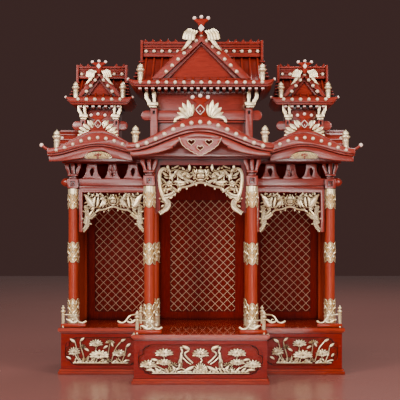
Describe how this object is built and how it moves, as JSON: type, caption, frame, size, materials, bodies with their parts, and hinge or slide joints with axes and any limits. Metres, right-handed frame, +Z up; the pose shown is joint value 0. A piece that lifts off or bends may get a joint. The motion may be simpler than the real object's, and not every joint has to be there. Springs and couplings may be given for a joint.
{
  "type": "household altar cabinet",
  "caption": "Household altar cabinet in red lacquered rosewood: open bays between columns under bow gables and roofed towers, with cast gold fittings and lotus reliefs.",
  "frame": {"origin": "centre of the footprint's bounding box, on the floor under the plinth", "axes": "+Z up, -Y out of the front of the bays, +X to the right as seen from the front"},
  "size_m": [0.7058, 0.36, 0.7879],
  "materials": {
    "rosewood": "gloss lacquer",
    "rosewood_dark": "satin lacquer",
    "gold_fittings": "satin gilt",
    "pearl_studs": "gloss"
  },
  "bodies": {
    "root": {"back_wall": "rosewood", "base_back_panel": "rosewood", "ceiling": "rosewood", "centre_front_panel": "rosewood", "centre_gable_crest": "gold_fittings", "centre_lintel_frame": "rosewood", "centre_lotus_relief": "gold_fittings", "centre_lower_roof": "rosewood", "centre_tower_body": "rosewood", "centre_tower_crest": "gold_fittings", "centre_tower_roof": "rosewood", "centre_valance": "gold_fittings", "deck": "rosewood", "left_centre_corner_rail": "gold_fittings", "left_end_panel": "rosewood", "left_front_bracket": "rosewood", "left_front_column": "rosewood", "left_front_panel": "rosewood", "left_gable_crest": "gold_fittings", "left_gable_fan": "gold_fittings", "left_inner_corner_rail": "gold_fittings", "left_lintel_frame": "rosewood", "left_lotus_relief": "gold_fittings", "left_lower_roof": "rosewood", "left_outer_bracket": "rosewood", "left_outer_column": "rosewood", "left_outer_corner_rail": "gold_fittings", "left_partition": "rosewood", "left_rear_column": "rosewood", "left_return_panel": "rosewood", "left_side_beam": "rosewood", "left_side_wall": "rosewood", "left_tower_body": "rosewood", "left_tower_crest": "gold_fittings", "left_tower_roof": "rosewood", "left_valance": "gold_fittings", "plinth": "rosewood", "right_centre_corner_rail": "gold_fittings", "right_end_panel": "rosewood", "right_front_bracket": "rosewood", "right_front_column": "rosewood", "right_front_panel": "rosewood", "right_gable_crest": "gold_fittings", "right_gable_fan": "gold_fittings", "right_inner_corner_rail": "gold_fittings", "right_lintel_frame": "rosewood", "right_lotus_relief": "gold_fittings", "right_lower_roof": "rosewood", "right_outer_bracket": "rosewood", "right_outer_column": "rosewood", "right_outer_corner_rail": "gold_fittings", "right_partition": "rosewood", "right_rear_column": "rosewood", "right_return_panel": "rosewood", "right_side_beam": "rosewood", "right_side_wall": "rosewood", "right_tower_body": "rosewood", "right_tower_crest": "gold_fittings", "right_tower_roof": "rosewood", "right_valance": "gold_fittings"}
  },
  "joints": []
}
